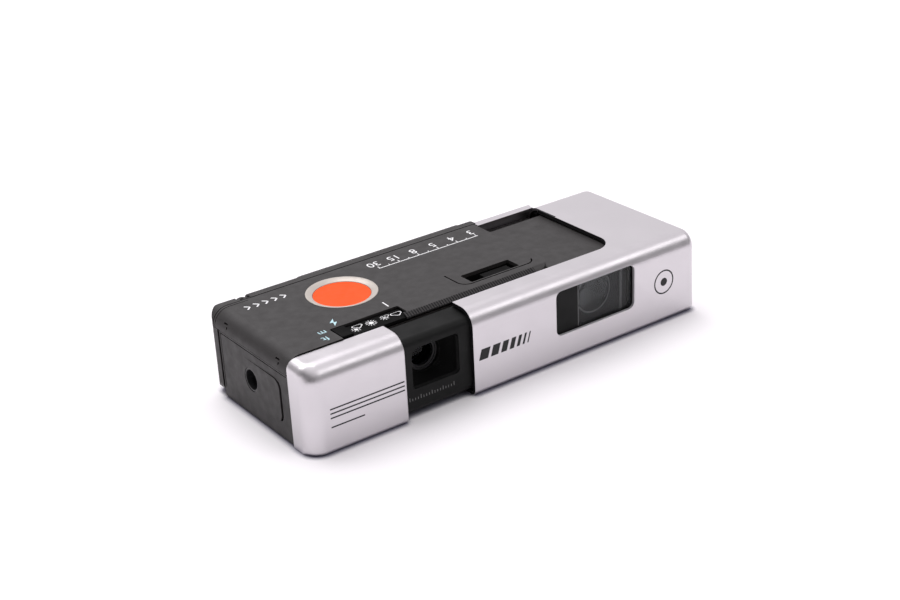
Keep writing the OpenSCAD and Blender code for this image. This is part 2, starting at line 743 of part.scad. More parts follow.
// Open box with a guide bar along its front wall and two slots for the contacts in its floor
module flash_socket() color("#2c2b2b") place() {
    floor = 20.5;
    difference() {
        block([socket_x - 0.5, socket_front - 0.5, 14.2], [socket_end + 0.5, socket_back + 0.5, cover_inner]);
        block([socket_x, socket_front, floor], [socket_end, socket_back, 40]);
        for (x = [socket_x + 1.2, socket_x + 3.2])
            block([x, socket_front + 1.2, 15], [x + 1.2, socket_front + 4.8, 22]);
    }
    block([socket_x + 5.5, socket_front - 0.1, floor - 0.1],
        [socket_x + 15.8, socket_front + bar_width, cover_inner - 0.2]);
    block([socket_x + 5.5, socket_front + 0.5, floor], [socket_x + 15.8, socket_front + bar_width, bar_top]);
}

// Spring contacts at the left of the socket
module flash_contacts() color("#c8b070") place() {
    for (x = [socket_x + 1.4, socket_x + 3.4])
        block([x, socket_front + 1.4, 15.1], [x + 0.8, socket_front + 4.6, 24]);
}

module piezo_igniter() color("#d9d4c6") place() {
    rod_z(3, 6.1, 22, 93.4, 19.5);
    rod_z(1.2, 21.9, 25.5, 93.4, 19.5);
}

// ---------- viewfinder ----------

module viewfinder_window() color(clear) place() along_y(panel_front + 0.05, panel_front + panel_thick)
    rounded([pane_x + 0.05, window_low + 0.25], [window_end - 0.45, window_high - 0.25], 1);

module viewfinder_objective() color(clear) place() difference() {
    block([100.4, 3.4, 9.2], [120.7, 6.2, 24]);
    translate([finder_x - 3.6, 3.4 - 11.6, finder_z + 1.6]) sphere(13.3, $fn = lens_fn);
}

module viewfinder_mask() color(dark) place() difference() {
    block([100.3, 30, 9.1], [120.8, 30.8, 24.1]);
    along_y(29, 32) rounded([finder_x - 6.6, finder_z - 5], [finder_x + 6.6, finder_z + 5], 1);
}

module viewfinder_eyepiece() color(clear) place() intersection() {
    block([finder_x - 6.3, 49, finder_z - 5.1], [finder_x + 6.3, 52.4, finder_z + 5.1]);
    translate([finder_x, 52.4 - 34, finder_z]) sphere(34, $fn = lens_fn);
}

// ---------- film door ----------

// Plan of the film door behind a given Y
module door_plan(back, front) intersection() {
    union() {
        translate([door_x, front]) square([door_end - door_x - 2.4, back - front]);
        translate([door_x + 10, front]) square([door_end - door_x - 10, back - front - 2.4]);
        translate([door_end - 2.4, back - 2.4]) circle(2.4);
    }
    translate([door_x, front]) square([door_end, back]);
}

module film_door() color(black) place() difference() {
    union() {
        intersection() {
            union() {
                along_z(door_low, cover_top) door_plan(door_back, door_back - door_wall);
                along_z(flange_low, cover_top) door_plan(door_back, cover_back + 0.4);
            }
            along_x(0, open_length) edge_section(door_back, 1.9);
        }
        // Raised pad of the outer face
        along_y(door_back - door_wall, total_depth)
            rounded([pad_x, door_low + 1.2], [door_end - 3, cover_top - 0.7], 2);
        // Hinge knuckle and its web
        rod_z(knuckle_r, knuckle_low, knuckle_high, hinge_x, hinge_y);
        block([hinge_x, hinge_y + 0.35, knuckle_low], [door_x + e, hinge_y + knuckle_r, knuckle_high]);
    }
    rod_z(pin_r + fit, 0, 30, hinge_x, hinge_y);
    along_y(50, 60) rounded([40, 9], [54, 19], 1.2);
    along_y(door_back - 0.8, 60) rounded([39, 8], [55, 20], 1.8);
    // Slide way of the latch
    along_y(50, 60) rounded([60.5, 2.9], [70.5, 5.4], 0.4);
    along_y(door_back - 0.7, 60) rounded([58.5, 1.8], [72.5, 9], 1);
}

module film_window() color("#8a4a3a") place()
    along_y(door_back - 0.75, door_back + 0.2) rounded([39.1, 8.1], [54.9, 19.9], 1.7);

// Leaf that pushes the cartridge towards the film gate
module cartridge_spring() color(steel) place() difference() {
    translate([27, 0, 0]) rod_z(22, 9, 19, 0, door_back - door_wall - 1.35 + 22);
    translate([27, 0, 0]) rod_z(21.7, 8, 20, 0, door_back - door_wall - 1.35 + 22);
    block([0, door_back - door_wall, 0], [60, 100, 30]);
}

module door_hinge_pin() color(steel) place() rod_z(pin_r, 1.3, 26.4, hinge_x, hinge_y);

module door_latch() color(dark) place() {
    inner = door_back - door_wall;
    // Thumb piece outside, neck through the slide way and hook inside
    along_y(door_back - 0.6, total_depth) rounded([59, 2.2], [68.8, 8.6], 0.8);
    block([61, inner - 0.2, 3.1], [67.2, door_back - 0.5, 5.2]);
    block([latch_x, inner - 0.9, 1.7], [67.2, inner - 0.15, 5.2]);
    block([latch_x, 51.3, 1.7], [latch_x + 1.5, inner - 0.1, 2.6]);
    block([latch_x, 51.3, 1.7], [latch_x + 3.5, 52.6, 2.6]);
}

grip_end();
lens_block();
film_chamber();
finder_housing();
top_cover();
front_cap();
front_panel();
rear_shell();
tripod_bush();
lens_barrel();
front_lens();
middle_lens();
lens_ring();
rear_lens_cell();
rear_lens();
shutter_plate();
shutter_blade();
shutter_spring();
aperture_plate();
weather_slider();
sensor_ring();
sensor_button();
sensor_spring();
release_lever();
lever_pin();
film_gate();
film_pawl();
pawl_pin();
flash_socket();
flash_contacts();
piezo_igniter();
viewfinder_window();
viewfinder_objective();
viewfinder_mask();
viewfinder_eyepiece();
sliding_sleeve();
sleeve_rack();
drive_pinion();
take_up_dog();
film_door();
film_window();
cartridge_spring();
door_hinge_pin();
door_latch();
case_screws();
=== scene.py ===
"""Looks of a flat pull-apart pocket camera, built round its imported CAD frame.

Places are given in millimetres from the left, front and bottom of the object, and at() turns
them into metres.
"""

import json
import math

import bmesh
import bpy
from mathutils import Matrix, Vector


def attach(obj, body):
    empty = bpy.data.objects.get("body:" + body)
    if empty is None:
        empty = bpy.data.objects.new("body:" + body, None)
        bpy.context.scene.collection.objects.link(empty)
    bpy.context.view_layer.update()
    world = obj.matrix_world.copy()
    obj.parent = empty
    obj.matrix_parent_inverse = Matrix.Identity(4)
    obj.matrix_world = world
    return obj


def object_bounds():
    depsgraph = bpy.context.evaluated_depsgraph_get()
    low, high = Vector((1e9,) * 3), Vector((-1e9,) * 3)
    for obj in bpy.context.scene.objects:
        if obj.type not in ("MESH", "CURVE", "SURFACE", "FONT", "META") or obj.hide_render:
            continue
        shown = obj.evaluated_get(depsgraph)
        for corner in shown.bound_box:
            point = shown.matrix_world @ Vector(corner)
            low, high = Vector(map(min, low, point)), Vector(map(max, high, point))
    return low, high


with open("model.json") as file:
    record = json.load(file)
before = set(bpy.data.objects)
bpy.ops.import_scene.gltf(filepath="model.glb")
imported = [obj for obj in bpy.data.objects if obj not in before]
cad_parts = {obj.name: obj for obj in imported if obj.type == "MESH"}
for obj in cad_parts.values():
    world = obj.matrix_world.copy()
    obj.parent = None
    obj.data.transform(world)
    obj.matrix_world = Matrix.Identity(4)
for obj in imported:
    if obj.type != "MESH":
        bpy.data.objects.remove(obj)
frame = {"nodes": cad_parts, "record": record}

cad_low, cad_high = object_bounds()
MM = 0.001

# The photographer's camera: place in metres, angles in degrees and focal length in millimetres
CAMERA_PLACE = (-0.2585253, -0.3610625, 0.2254269)
CAMERA_AZIMUTH = -35.1796
CAMERA_ELEVATION = 25.1560
CAMERA_ROLL = -2.9623
CAMERA_LENS = 62.376

# Heights of the shell, the top cover and the weather slider's strip
SHELL_TOP = 28.0
COVER_TOP = 28.4
STRIP_TOP = 27.55
# Faces of the front panel and of the rear door, measured from the front
PANEL_FRONT = 1.3
BACK = 57.6
# The sleeve: thickness of its sheet, left edge, radii at its top and foot, and the notch in its top
SHEET = 0.9
SLEEVE_X = 57.5
SLEEVE_ROUND = 5.4
SLEEVE_FOOT = 2.0
NOTCH_FRONT = 9.8
NOTCH_ROUND = 7.2
NOTCH_RIGHT = 122.2
NOTCH_SLANT = 0.012
# Middle of the taking lens and half size of its opening, as x and z
LENS = (44.65, 16.0)
HOOD = (8.4, 6.5)
# Corners of the sleeve's window and of the viewfinder behind it, as x and z
WINDOW_LOW = (89.4, 9.2)
WINDOW_HIGH = (121.6, 24.3)
FINDER_LOW = (100.5, 9.3)
FINDER_HIGH = (120.6, 23.9)
# Left edge of the clear part of the pane, and the round hollow of the viewfinder's objective
PANE_X = 99.2
HOLLOW = (106.6, 18.4)
HOLLOW_ROUND = 6.4
# Thickness of printed ink
INK = 0.012


def at(x, y, z):
    """The point x, y, z millimetres from the left, front and bottom of the camera."""
    return cad_low + Vector((x, y, z)) * MM


# ---------- materials ----------

RANGE_SOCKETS = ("From Min", "From Max", "To Min", "To Max")


class Finish:
    """A node material whose textures are placed in millimetres on the object."""

    def __init__(self, name, colour, roughness, metallic=0.0, **sockets):
        self.material = bpy.data.materials.new(name)
        self.material.use_nodes = True
        self.tree = self.material.node_tree
        self.shader = self.tree.nodes["Principled BSDF"]
        self.colour = (*colour, 1.0)
        self.shader.inputs["Base Color"].default_value = self.colour
        self.shader.inputs["Roughness"].default_value = roughness
        self.shader.inputs["Metallic"].default_value = metallic
        for socket, value in sockets.items():
            self.shader.inputs[socket.replace("_", " ")].default_value = value
        self.places = self.new("VectorMath", operation="SCALE")
        self.places.inputs["Scale"].default_value = 1 / MM
        self.link(self.new("TexCoord").outputs["Object"], self.places.inputs[0])

    def new(self, kind, **values):
        node = self.tree.nodes.new("ShaderNode" + kind)
        for name, value in values.items():
            setattr(node, name, value)
        return node

    def link(self, output, socket):
        self.tree.links.new(output, socket)

    def noise(self, size, detail):
        """Noise from 0 to 1 whose blotches are about size millimetres across."""
        texture = self.new("TexNoise")
        texture.inputs["Scale"].default_value = 1 / size
        texture.inputs["Detail"].default_value = detail
        self.link(self.places.outputs[0], texture.inputs["Vector"])
        return texture.outputs["Fac"]

    def pits(self, size):
        """Distance from the nearest of many points that are size millimetres apart."""
        texture = self.new("TexVoronoi")
        texture.inputs["Scale"].default_value = 1 / size
        self.link(self.places.outputs[0], texture.inputs["Vector"])
        return texture.outputs["Distance"]

    def ranged(self, value, low, high, to_low, to_high):
        """Maps values from low to high onto to_low to to_high, and holds them at the ends."""
        node = self.new("MapRange")
        for socket, number in zip(RANGE_SOCKETS, (low, high, to_low, to_high)):
            node.inputs[socket].default_value = number
        self.link(value, node.inputs["Value"])
        return node.outputs["Result"]

    def edges(self, width):
        """1 along sharp edges and 0 elsewhere, over about width millimetres."""
        rounded = self.new("Bevel", samples=6)
        rounded.inputs["Radius"].default_value = width * MM
        flat = self.new("NewGeometry")
        along = self.new("VectorMath", operation="DOT_PRODUCT")
        self.link(rounded.outputs[0], along.inputs[0])
        self.link(flat.outputs["Normal"], along.inputs[1])
        return self.ranged(along.outputs["Value"], 0.99, 0.80, 0, 1)

    def crevice_shade(self, reach):
        """1 in narrow gaps and 0 on open faces, over about reach millimetres; it masks painted shade."""
        open_sky = self.new("AmbientOcclusion", samples=8)
        open_sky.inputs["Distance"].default_value = reach * MM
        return self.ranged(open_sky.outputs["AO"], 0.95, 0.45, 0, 1)

    def product(self, first, second):
        node = self.new("Math", operation="MULTIPLY")
        self.link(first, node.inputs[0])
        self.link(second, node.inputs[1])
        return node.outputs[0]

    def tint(self, factor, colour):
        """Mixes colour in where factor is 1."""
        node = self.new("Mix", data_type="RGBA")
        before = self.shader.inputs["Base Color"]
        if before.is_linked:
            self.link(before.links[0].from_socket, node.inputs[6])
        else:
            node.inputs[6].default_value = self.colour
        node.inputs[7].default_value = (*colour, 1.0)
        self.link(factor, node.inputs["Factor"])
        self.link(node.outputs[2], before)

    def roughness(self, value, low, high):
        """Lets the roughness wander between low and high with a noise."""
        self.link(self.ranged(value, 0.3, 0.7, low, high), self.shader.inputs["Roughness"])

    def bump(self, height, depth, strength):
        """Adds relief of that depth in millimetres to the relief that is there."""
        node = self.new("Bump")
        node.inputs["Strength"].default_value = strength
        node.inputs["Distance"].default_value = depth * MM
        self.link(height, node.inputs["Height"])
        before = self.shader.inputs["Normal"]
        if before.is_linked:
            self.link(before.links[0].from_socket, node.inputs["Normal"])
        self.link(node.outputs["Normal"], before)


def satin_silver():
    """Bead-blasted and anodised aluminium."""
    finish = Finish("satin_silver", (0.613, 0.589, 0.612), 0.34, metallic=1.0)
    finish.tint(finish.ranged(finish.noise(18, 3), 0.35, 0.75, 0, 0.5), (0.593, 0.569, 0.593))
    finish.tint(finish.product(finish.edges(0.25), finish.noise(1.5, 4)), (0.80, 0.79, 0.81))
    finish.roughness(finish.noise(6, 5), 0.30, 0.38)
    finish.bump(finish.noise(0.16, 2), 0.004, 0.5)
    return finish.material


def grained_black(name, colour, roughness, specular):
    """Moulded plastic with a fine spark-eroded grain, and painted shade that darkens its seams and takes
    their gloss.
    """
    finish = Finish(name, colour, roughness, Specular_IOR_Level=specular)
    worn = tuple(2 * part + 0.01 for part in colour)
    finish.tint(finish.product(finish.edges(0.3), finish.noise(2.2, 5)), worn)
    # Painted shade: narrow gaps and seams are darkened and lose their gloss, from an ambient occlusion
    # mask.
    seam_shade = finish.crevice_shade(0.7)
    finish.tint(seam_shade, (0.001, 0.001, 0.001))
    finish.link(finish.ranged(seam_shade, 0, 1, specular, 0.02), finish.shader.inputs["Specular IOR Level"])
    finish.roughness(finish.noise(3.5, 6), roughness - 0.06, roughness + 0.08)
    finish.bump(finish.pits(0.22), 0.02, 0.45)
    finish.bump(finish.noise(0.5, 3), 0.01, 0.4)
    return finish.material


def matt_black(name, colour, roughness, specular):
    """Plain dark plastic with faint flow marks."""
    finish = Finish(name, colour, roughness, Specular_IOR_Level=specular)
    worn = tuple(3 * part + 0.01 for part in colour)
    finish.tint(finish.product(finish.edges(0.25), finish.noise(2, 4)), worn)
    finish.roughness(finish.noise(5, 5), roughness - 0.05, roughness + 0.1)
    finish.bump(finish.noise(0.4, 3), 0.006, 0.4)
    return finish.material


def plain(name, colour, roughness, metallic=0.0, **sockets):
    """Smooth material with slight variations of gloss."""
    finish = Finish(name, colour, roughness, metallic, **sockets)
    finish.roughness(finish.noise(2, 4), roughness * 0.85, roughness * 1.15)
    finish.bump(finish.noise(0.2, 2), 0.003, 0.4)
    return finish.material


def printed(name, colour):
    """Screen-printed ink that is a little thin in places."""
    finish = Finish(name, colour, 0.5, Specular_IOR_Level=0.3)
    thin = tuple(0.6 * part for part in colour)
    finish.tint(finish.ranged(finish.noise(0.35, 4), 0.5, 0.8, 0, 0.35), thin)
    finish.roughness(finish.noise(0.6, 3), 0.42, 0.6)
    return finish.material


def moulded_orange():
    """Bright plastic of the release button."""
    finish = Finish("button_orange", (0.93, 0.088, 0.006), 0.5, Specular_IOR_Level=0.12)
    finish.tint(finish.ranged(finish.noise(4, 4), 0.4, 0.75, 0, 0.5), (0.88, 0.075, 0.005))
    finish.tint(finish.product(finish.edges(0.25), finish.noise(1.5, 4)), (1.0, 0.22, 0.07))
    finish.roughness(finish.noise(2.5, 5), 0.4, 0.52)
    finish.bump(finish.noise(0.3, 3), 0.006, 0.4)
    return finish.material


GLASS = {"Transmission_Weight": 1.0}
# One material for each material slot of the record
MATERIALS = {
    "silver_shell": satin_silver(),
    "black_body": grained_black("body_black", (0.022, 0.0197, 0.0197), 0.5, 0.34),
    "fascia": matt_black("panel_black", (0.004, 0.0043, 0.0042), 0.5, 0.16),
    "knob_plastic": grained_black("knob_black", (0.004, 0.004, 0.004), 0.7, 0.06),
    "orange_button": moulded_orange(),
    "cream_ring": plain("ring_cream", (0.49, 0.45, 0.405), 0.35, 0.3),
    "clear_plastic": plain("clear_pane", (0.62, 0.64, 0.65), 0.05, IOR=1.25, **GLASS),
    "lens_glass": plain("coated_glass", (0.12, 0.13, 0.17), 0.03, IOR=1.2, **GLASS),
    "steel": plain("bright_steel", (0.55, 0.56, 0.58), 0.3, 1.0),
    "black_metal": plain("black_metal", (0.016, 0.016, 0.017), 0.4, 0.2),
    "contact_brass": plain("contact_brass", (0.8, 0.66, 0.38), 0.28, 1.0),
    "pale_plastic": plain("pale_plastic", (0.74, 0.72, 0.66), 0.5),
}
# Nodes that look different from the rest of their slot
OWN_MATERIALS = {
    "viewfinder_objective": plain("objective_glass", (0.5, 0.52, 0.53), 0.03, IOR=1.62, **GLASS),
}
# Materials of the added pieces
HOOD_BLACK = matt_black("hood_black", (0.0025, 0.0025, 0.0025), 0.75, 0.1)
RIM_BLACK = matt_black("rim_black", (0.006, 0.006, 0.007), 0.5, 0.25)
CUT_EDGE = plain("cut_edge", (0.42, 0.41, 0.43), 0.6)
WHITE_INK = printed("white_ink", (0.86, 0.86, 0.87))
BLUE_INK = printed("pale_blue_ink", (0.50, 0.74, 0.80))
GREY_INK = printed("grey_ink", (0.16, 0.16, 0.16))
BLACK_INK = printed("black_ink", (0.012, 0.012, 0.013))

# ---------- CAD nodes ----------

# Width of the rounded edges in millimetres, where it differs from FINE_BEVEL
FINE_BEVEL = 0.08
BEVELS = {
    "sliding_sleeve": 0.22,
    "top_cover": 0.12,
    "film_door": 0.12,
    "rear_shell": 0.12,
    "weather_slider": 0.25,
}
# Nodes with a doubly curved corner, which are blended as a whole
SMOOTHED = ("front_cap",)


def refine(node, width):
    """Merges the flat faces of a CAD node, rounds its edges and evens its shading."""
    obj = frame["nodes"][node]
    weld = obj.modifiers.new("weld", "WELD")
    weld.merge_threshold = 0.002 * MM
    if node in SMOOTHED:
        blend(obj)
        return
    flat = obj.modifiers.new("flat", "DECIMATE")
    flat.decimate_type = "DISSOLVE"
    flat.angle_limit = math.radians(0.5)
    round_edges(obj, width)


def blend(obj):
    """Melts the flat facets of a doubly curved corner into one another."""
    grid = obj.modifiers.new("grid", "REMESH")
    grid.mode = "VOXEL"
    grid.voxel_size = 0.16 * MM
    grid.use_smooth_shade = True
    smooth = obj.modifiers.new("smooth", "SMOOTH")
    smooth.factor = 0.5
    smooth.iterations = 14
    flat = obj.modifiers.new("flat", "DECIMATE")
    flat.decimate_type = "COLLAPSE"
    flat.ratio = 0.25
    obj.modifiers.new("normals", "WEIGHTED_NORMAL").weight = 50
    obj.data.shade_smooth()


def round_edges(obj, width):
    """Rounds every edge that bends by more than 35 degrees."""
    bevel = obj.modifiers.new("bevel", "BEVEL")
    bevel.width = width * MM
    bevel.segments = 3
    bevel.limit_method = "ANGLE"
    bevel.angle_limit = math.radians(35)
    obj.modifiers.new("normals", "WEIGHTED_NORMAL").weight = 100
    obj.data.shade_smooth()


for subpart in frame["record"]["subparts"]:
    name = subpart["node"]
    obj = frame["nodes"][name]
    obj.data.materials.clear()
    obj.data.materials.append(OWN_MATERIALS.get(name, MATERIALS[subpart["material_slot"]]))
    refine(name, BEVELS.get(name, FINE_BEVEL))

# ---------- pieces ----------


class Piece:
    """Collects closed solids, in millimetres, into one object that rides on a body."""

    def __init__(self):
        self.points = []
        self.faces = []

    def prism(self, outline, lift):
        """Adds the solid between a flat outline and its copy moved by lift."""
        first = len(self.points)
        count = len(outline)
        self.points += [Vector(point) for point in outline]
        self.points += [Vector(point) + Vector(lift) for point in outline]
        self.faces.append(range(first, first + count))
        self.faces.append(range(first + count, first + 2 * count))
        for i in range(count):
            j = (i + 1) % count
            self.faces.append((first + i, first + j, first + count + j, first + count + i))

    def loft(self, sections, closed=False):
        """Adds the skin through equal rings of points, closed at its ends or into a ring of rings."""
        first = len(self.points)
        count = len(sections[0])
        for section in sections:
            self.points += [Vector(point) for point in section]
        for k in range(len(sections) - (0 if closed else 1)):
            here = first + k * count
            there = first + (k + 1) % len(sections) * count
            for i in range(count):
                j = (i + 1) % count
                self.faces.append((here + i, here + j, there + j, there + i))
        if not closed:
            self.faces.append(range(first, first + count))
            self.faces.append(range(first + (len(sections) - 1) * count, first + len(sections) * count))

    def finish(self, name, body, slot, material):
        """Makes the object with its faces turned outwards and rides it on the body."""
        mesh = bpy.data.meshes.new(name)
        mesh.from_pydata([at(*point) for point in self.points], [], [tuple(face) for face in self.faces])
        net = bmesh.new()
        net.from_mesh(mesh)
        bmesh.ops.recalc_face_normals(net, faces=net.faces)
        net.to_mesh(mesh)
        net.free()
        obj = bpy.data.objects.new(name, mesh)
        bpy.context.scene.collection.objects.link(obj)
        mesh.materials.append(material)
        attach(obj, body)
        return obj


def arc(centre, radius, start, end, steps=12):
    """Flat points along an arc, with angles in degrees."""
    turns = [math.radians(start + (end - start) * i / steps) for i in range(steps + 1)]
    return [(centre[0] + radius * math.cos(turn), centre[1] + radius * math.sin(turn))
            for turn in turns]


def circle(centre, radius, steps=32):
    """Flat points round a circle, without the first one again at the end."""
    return arc(centre, radius, 0, 360, steps)[:-1]


def on_top(outline, z):
    """An outline of x and y, laid flat at a height."""
    return [(x, y, z) for x, y in outline]


def on_front(outline, y=0.0):
    """An outline of x and z, stood upright at a depth."""
    return [(x, y, z) for x, z in outline]


def box_on_front(x, z, end_x, end_z):
    """Upright rectangle between two corners."""
    return [(x, z), (end_x, z), (end_x, end_z), (x, end_z)]


def edge_serration():
    """Ribs across the bevelled front edge of the top cover, and the ground between them in a darker black
    as painted shade.
    """
    ribs = Piece()
    shaded_ground = Piece()
    pitch = 0.92
    start = 42.0
    rib_width = 0.46
    # The undersides start behind a short lip, so that the weather slider passes below them
    lip = [(10.95, 27.1), (11.25, 27.1)]
    rib_side = lip + [(11.25, 27.62), (13.0, 28.25), (13.0, 28.38), (12.5, 28.38), (10.95, 27.55)]
    ground_side = lip + [(11.32, 27.53), (12.8, 28.3), (12.7, 28.35), (10.95, 27.35)]
    for i in range(53):
        x = start + pitch * i
        ribs.prism([(x, y, z) for y, z in rib_side], (rib_width, 0, 0))
        # The ground between the ribs is drawn in a darker black than the ribs, as painted shade.
        shaded_ground.prism([(x + rib_width - 0.01, y, z) for y, z in ground_side],
                     (pitch - rib_width + 0.02, 0, 0))
    ribs.finish("edge_serration", "camera_body", "black_body", MATERIALS["black_body"])
    shaded_ground.finish("serration_ground", "camera_body", "black_body", RIM_BLACK)


def sleeve_rims():
    """Black lining that shows at the sleeve's left edge and round the notch in its top."""
    def edge(inset):
        top = SHELL_TOP - inset
        return ([(NOTCH_FRONT, top)]
                + arc((SLEEVE_ROUND, SHELL_TOP - SLEEVE_ROUND), SLEEVE_ROUND - inset, 90, 180, 16)
                + arc((SLEEVE_FOOT, SLEEVE_FOOT), SLEEVE_FOOT - inset, 180, 270, 10) + [(40, inset)])

    piece = Piece()
    outer = edge(0.16)
    inner = edge(SHEET + 0.2)
    left = SLEEVE_X - 0.03
    right = SLEEVE_X + 1.2
    piece.loft([[(left, *a), (left, *b), (right, *b), (right, *a)] for a, b in zip(outer, inner)])
    piece.finish("sleeve_edge_rim", "sleeve", "fascia", RIM_BLACK)

    def notch(inset):
        bend = (NOTCH_RIGHT - NOTCH_ROUND, NOTCH_FRONT + NOTCH_ROUND)
        end = 49.0
        return ([(SLEEVE_X + 0.5, NOTCH_FRONT + inset)]
                + arc(bend, NOTCH_ROUND - inset, 270, 360, 16)
                + [(NOTCH_RIGHT - inset + NOTCH_SLANT * (end - 16), end)])

    piece = Piece()
    low = SHELL_TOP - SHEET - 0.45
    high = SHELL_TOP - 0.13
    piece.loft([[(*a, low), (*a, high), (*b, high), (*b, low)] for a, b in zip(notch(0.04), notch(-0.6))])
    piece.finish("notch_rim", "sleeve", "fascia", RIM_BLACK)


def window_lip():
    """Dull cut edge of the sleeve's sheet round its front window."""
    def outline(inset):
        left, low = WINDOW_LOW
        right, high = WINDOW_HIGH
        bend = 2.2
        return (arc((right - bend, high - bend), bend - inset, 0, 90, 8)
                + arc((left + bend, high - bend), bend - inset, 90, 180, 8)
                + arc((left + bend, low + bend), bend - inset, 180, 270, 8)
                + arc((right - bend, low + bend), bend - inset, 270, 360, 8))

    piece = Piece()
    near, far = 0.12, 0.86
    piece.loft([[(a[0], near, a[1]), (a[0], far, a[1]), (b[0], far, b[1]), (b[0], near, b[1])]
                for a, b in zip(outline(-0.02), outline(0.06))], closed=True)
    piece.finish("window_lip", "sleeve", "silver_shell", CUT_EDGE)


def hood_lining():
    """Dead black funnel from the opening in the front panel to the lens barrel."""
    steps = 64

    barrel = 5.3

    def ring(y, share):
        """Rectangle with round corners at share 0 and circle at share 1."""
        points = []
        for i in range(steps):
            turn = 2 * math.pi * (i + 0.5) / steps
            cos, sin = math.cos(turn), math.sin(turn)
            reach = (abs(cos / HOOD[0]) ** 12 + abs(sin / HOOD[1]) ** 12) ** (-1 / 12)
            size = reach + (barrel - reach) * share
            points.append((LENS[0] + size * cos, y, LENS[1] - 0.05 + size * sin))
        return points

    start = 3.0
    length = 5.0
    rings = 6
    outer = [ring(PANEL_FRONT + 0.25, 0), ring(start, 0)]
    outer += [ring(start + length * i / rings, i / rings) for i in range(1, rings + 1)]
    # The lining is a thin wall: its inner skin is drawn in towards the lens's axis by this share
    wall = 0.04 / 6
    inner = [[(x + (LENS[0] - x) * wall, y, z + (LENS[1] - z) * wall) for x, y, z in section]
             for section in outer]
    piece = Piece()
    piece.loft(outer + inner[::-1], closed=True)
    obj = piece.finish("hood_lining", "camera_body", "fascia", HOOD_BLACK)
    obj.data.shade_smooth()


def finder_front_mask():
    """Dark plate in front of the viewfinder's objective, cut out round its hollow, with a grey rim round
    the hollow and a grey streak painted as a reflection.
    """
    left, low = FINDER_LOW
    right, high = FINDER_HIGH
    front = 3.1
    thick = (0, 0.2, 0)
    columns = 48
    step = (right - left) / columns

    def half_chord(x):
        return math.sqrt(max(0, HOLLOW_ROUND ** 2 - (x - HOLLOW[0]) ** 2))

    piece = Piece()
    for i in range(columns):
        a = left + step * i
        b = a + step
        near, far = half_chord(a), half_chord(b)
        sill = [(a, low), (b, low), (b, HOLLOW[1] - far), (a, HOLLOW[1] - near)]
        piece.prism(on_front(sill, front), thick)
        roof = [(a, min(high, HOLLOW[1] + near)), (b, min(high, HOLLOW[1] + far)), (b, high), (a, high)]
        if roof[0][1] < high or roof[1][1] < high:
            piece.prism(on_front(roof, front), thick)
    piece.finish("finder_front_mask", "camera_body", "fascia", RIM_BLACK)

    piece = Piece()
    rim_front = front - 0.01
    steps = 48
    outer = circle(HOLLOW, HOLLOW_ROUND + 0.55, steps)
    inner = circle(HOLLOW, HOLLOW_ROUND, steps)
    for i in range(steps):
        j = (i + 1) % steps
        if all(x > left and z < high for x, z in (outer[i], outer[j])):
            piece.prism(on_front([outer[i], outer[j], inner[j], inner[i]], rim_front), (0, -0.05, 0))
    # Painted reflection: a grey upright streak right of the objective's hollow stands in for light
    # reflected in the finder's glass.
    piece.prism(on_front(box_on_front(117.3, low, 118.3, high), rim_front), (0, -0.3, 0))
    piece.finish("finder_rim_and_painted_streak", "camera_body", "fascia", GREY_INK)


def print_on(piece, outline, z):
    """Adds an inked shape that lies on a level face."""
    piece.prism(on_top(outline, z), (0, 0, INK))


def sun(piece, x, y, radius, reach, rays):
    """Disc with short rays round it, on the slider."""
    half_ray = 0.11
    seam_shade = 0.28
    print_on(piece, circle((x, y), radius), STRIP_TOP)
    for i in range(rays):
        turn = 2 * math.pi * i / rays
        out = Vector((math.cos(turn), math.sin(turn)))
        side = Vector((-out.y, out.x)) * half_ray
        near = Vector((x, y)) + out * (radius + seam_shade)
        far = Vector((x, y)) + out * reach
        print_on(piece, [near - side, far - side, far + side, near + side], STRIP_TOP)


def cloud(piece, x, y, size, line):
    """Outline of a cloud on the slider, flat at its rear so that it reads from behind the camera."""
    lobes = (arc((x + 0.9 * size, y + 0.1 * size), 0.55 * size, 90, -80, 8)
             + arc((x + 0.1 * size, y - 0.35 * size), 0.75 * size, -20, -165, 10)
             + arc((x - 0.9 * size, y + 0.15 * size), 0.5 * size, -100, -270, 8))
    centre = Vector((x, y + 0.1 * size))
    inner = [tuple(centre + (Vector(point) - centre) * (1 - line / size)) for point in lobes]
    for i in range(len(lobes)):
        j = (i + 1) % len(lobes)
        print_on(piece, [lobes[i], lobes[j], inner[j], inner[i]], STRIP_TOP)


def weather_marks():
    """Weather pictures on the slider's strip, one for each aperture."""
    piece = Piece()
    sun(piece, 26.3, 14.3, 0.62, 1.45, 8)
    cloud(piece, 27.7, 15.9, 1.25, 0.22)
    sun(piece, 32.0, 15.0, 0.78, 1.8, 12)
    sun(piece, 36.8, 15.2, 0.5, 1.4, 8)
    cloud(piece, 37.4, 15.9, 1.0, 0.16)
    cloud(piece, 41.0, 15.3, 1.35, 0.24)
    piece.finish("weather_marks", "weather", "knob_plastic", WHITE_INK)


def words(name, text, x, y, size, material):
    """Flat lettering on the top cover, which reads from behind the camera."""
    curve = bpy.data.curves.new(name, "FONT")
    curve.body = text
    curve.size = size * MM
    curve.extrude = INK / 2 * MM
    curve.align_x = "CENTER"
    curve.align_y = "CENTER"
    curve.materials.append(material)
    obj = bpy.data.objects.new(name, curve)
    obj.matrix_world = Matrix.Translation(at(x, y, COVER_TOP + INK / 2)) @ Matrix.Rotation(math.pi, 4, "Z")
    bpy.context.scene.collection.objects.link(obj)
    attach(obj, "camera_body")


def bar(piece, start, end, width):
    """Straight printed line on the top."""
    start, end = Vector(start), Vector(end)
    side = (end - start).normalized() * width / 2
    side = Vector((-side.y, side.x))
    print_on(piece, [start - side, end - side, end + side, start + side], COVER_TOP)


